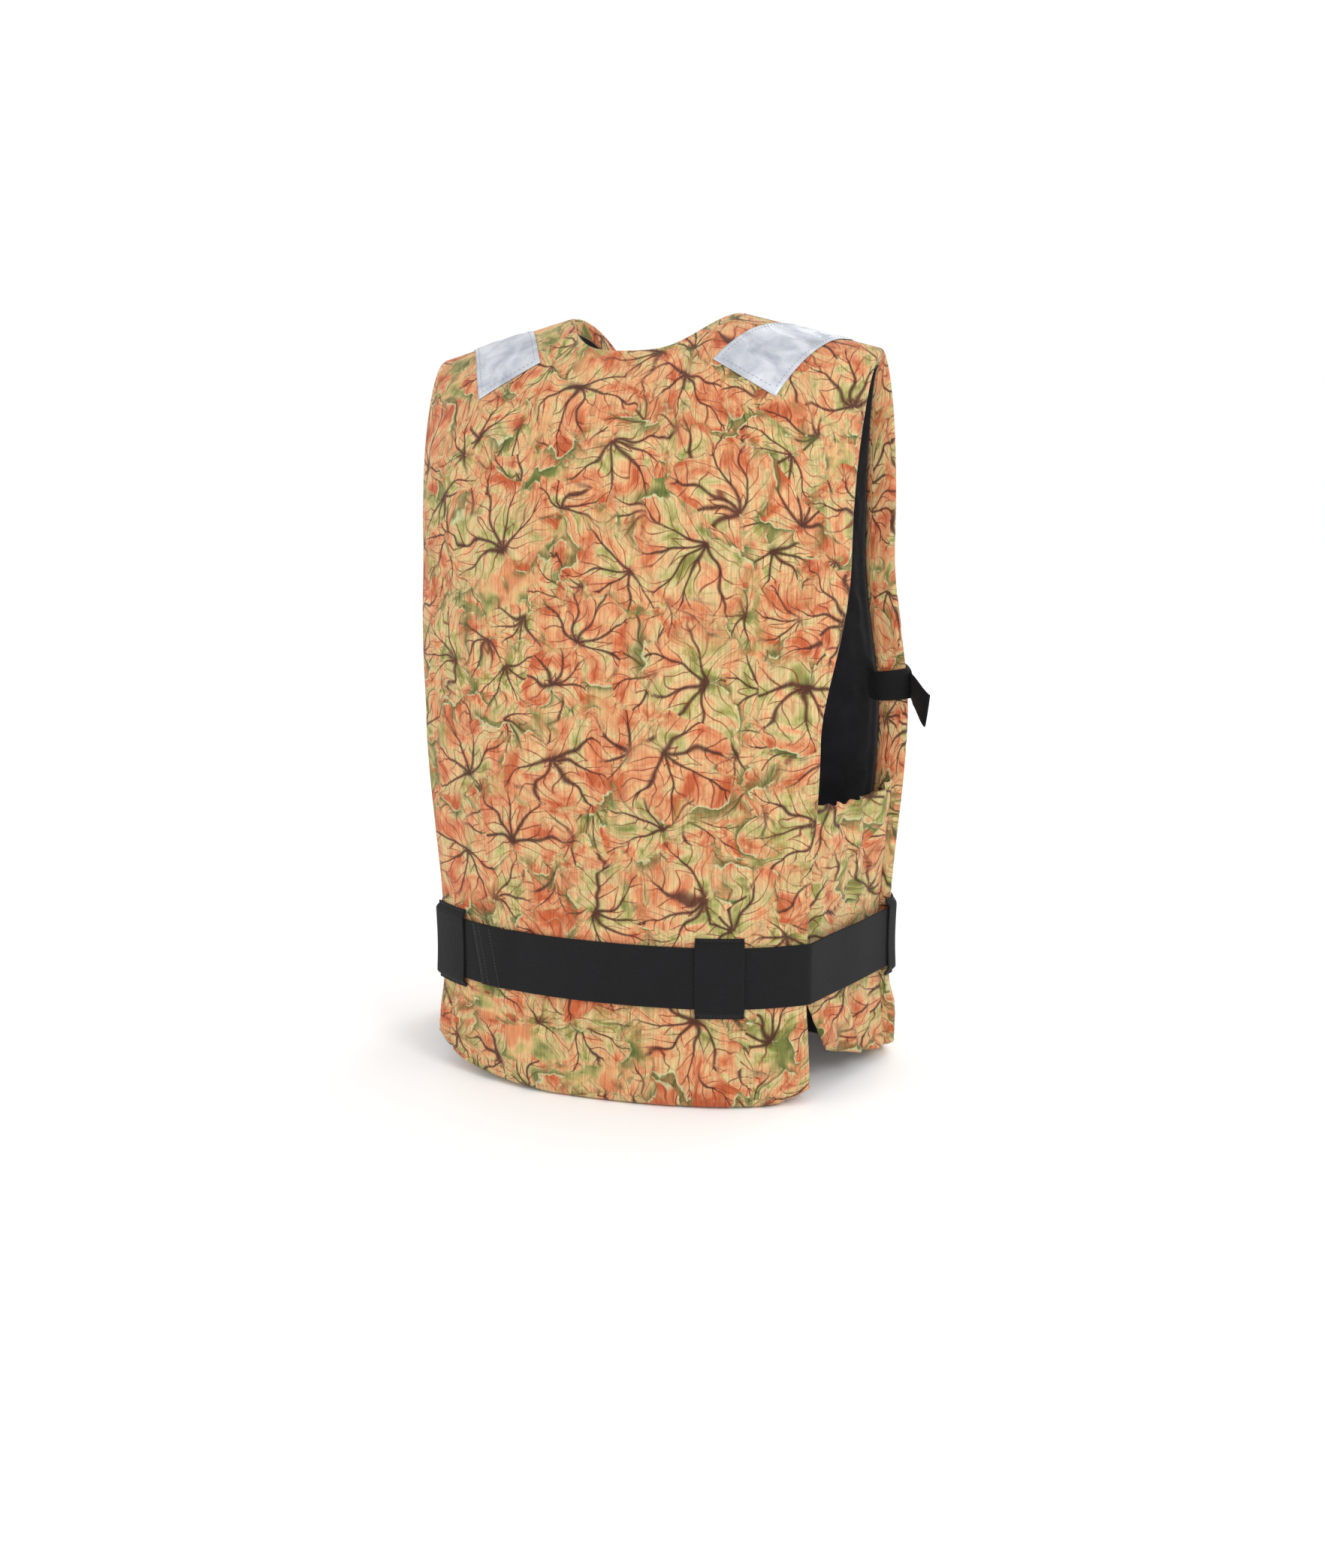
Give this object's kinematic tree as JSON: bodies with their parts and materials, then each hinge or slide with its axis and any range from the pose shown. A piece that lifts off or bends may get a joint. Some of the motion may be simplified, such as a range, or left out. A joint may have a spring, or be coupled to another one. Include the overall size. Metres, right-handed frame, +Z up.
{
  "type": "flotation vest",
  "caption": "Padded foam flotation vest in leaf camouflage: thick back and front panels, zip, waist belt, chest strap, pockets and reflective patches.",
  "frame": {"origin": "middle of the vest's footprint, on the surface it stands on", "axes": "+Z up, -Y the way the wearer faces, +X the wearer's left"},
  "size_m": [0.435, 0.26, 0.6072],
  "materials": {
    "camouflage_cloth": "printed woven polyester, matt",
    "black_lining": "plain woven nylon, slight sheen",
    "closed_cell_foam": "matt closed-cell foam",
    "black_webbing": "ribbed polyester webbing",
    "black_acetal": "moulded, fine matt",
    "zip_acetal": "moulded, satin",
    "reflective_film": "glass-bead silver film on cloth"
  },
  "bodies": {
    "vest": {"back_shell": "camouflage_cloth", "back_foam": "closed_cell_foam", "back_lining": "black_lining", "front_left_shell": "camouflage_cloth", "front_left_foam": "closed_cell_foam", "front_left_lining": "black_lining", "front_right_shell": "camouflage_cloth", "front_right_foam": "closed_cell_foam", "front_right_lining": "black_lining", "side_gusset_left": "camouflage_cloth", "side_gusset_right": "camouflage_cloth", "waist_belt_left": "black_webbing", "waist_belt_right": "black_webbing", "waist_belt_tail": "black_webbing", "belt_loop_back_left": "black_webbing", "belt_loop_back_right": "black_webbing", "belt_loop_front_left": "black_webbing", "belt_loop_front_right": "black_webbing", "chest_strap_left": "black_webbing", "chest_strap_right": "black_webbing", "chest_strap_tail": "black_webbing", "waist_buckle_socket": "black_acetal", "waist_buckle_plug": "black_acetal", "chest_buckle_socket": "black_acetal", "chest_buckle_plug": "black_acetal", "zip_tape_left": "black_webbing", "zip_teeth_left": "zip_acetal", "zip_tape_right": "black_webbing", "zip_teeth_right": "zip_acetal", "zip_retainer": "zip_acetal", "pocket_left": "camouflage_cloth", "pocket_right": "camouflage_cloth", "shoulder_reflector_left": "reflective_film", "chest_reflector_left": "reflective_film", "shoulder_reflector_right": "reflective_film", "chest_reflector_right": "reflective_film"},
    "zip_slider": {"zip_slider": "zip_acetal"},
    "zip_pull": {"zip_pull": "zip_acetal"},
    "waist_arm_upper": {"waist_buckle_arm_upper": "black_acetal"},
    "waist_arm_lower": {"waist_buckle_arm_lower": "black_acetal"},
    "chest_arm_upper": {"chest_buckle_arm_upper": "black_acetal"},
    "chest_arm_lower": {"chest_buckle_arm_lower": "black_acetal"},
    "pocket_flap_left": {"pocket_flap_left": "camouflage_cloth"},
    "pocket_flap_right": {"pocket_flap_right": "camouflage_cloth"},
    "waist_keeper": {"waist_keeper": "black_webbing"},
    "chest_keeper": {"chest_keeper": "black_webbing"}
  },
  "joints": [
    {"name": "zip_slide", "type": "slide", "parent": "vest", "child": "zip_slider", "axis": [0, 0, -1], "range_m": [0, 0.436]},
    {"name": "zip_pull_swing", "type": "hinge", "parent": "zip_slider", "child": "zip_pull", "pos_m": [0.00926, -0.10646, 0.4665], "axis": [-1, 0, 0], "range_deg": [0, 120]},
    {"name": "waist_arm_upper_squeeze", "type": "hinge", "parent": "vest", "child": "waist_arm_upper", "pos_m": [0.01126, -0.12136, 0.1294], "axis": [0, 1, 0], "range_deg": [0, 7], "stiffness_Nm_per_rad": 0.05},
    {"name": "waist_arm_lower_squeeze", "type": "hinge", "parent": "vest", "child": "waist_arm_lower", "pos_m": [0.01126, -0.12136, 0.0826], "axis": [0, -1, 0], "range_deg": [0, 7], "stiffness_Nm_per_rad": 0.05},
    {"name": "chest_arm_upper_squeeze", "type": "hinge", "parent": "vest", "child": "chest_arm_upper", "pos_m": [0.01126, -0.12136, 0.3284], "axis": [0, 1, 0], "range_deg": [0, 7], "stiffness_Nm_per_rad": 0.05},
    {"name": "chest_arm_lower_squeeze", "type": "hinge", "parent": "vest", "child": "chest_arm_lower", "pos_m": [0.01126, -0.12136, 0.3066], "axis": [0, -1, 0], "range_deg": [0, 7], "stiffness_Nm_per_rad": 0.05},
    {"name": "pocket_flap_left_lift", "type": "hinge", "parent": "vest", "child": "pocket_flap_left", "pos_m": [0.09726, -0.11097, 0.2691], "axis": [-0.9919, -0.1271, 0], "range_deg": [0, 85]},
    {"name": "pocket_flap_right_lift", "type": "hinge", "parent": "vest", "child": "pocket_flap_right", "pos_m": [-0.07874, -0.11097, 0.2691], "axis": [-0.9919, 0.1271, 0], "range_deg": [0, 85]},
    {"name": "waist_keeper_slide", "type": "slide", "parent": "vest", "child": "waist_keeper", "axis": [0.9882, -0.1531, 0], "range_m": [-0.012, 0.012]},
    {"name": "chest_keeper_slide", "type": "slide", "parent": "vest", "child": "chest_keeper", "axis": [0.9868, -0.1621, 0], "range_m": [-0.012, 0.012]}
  ]
}
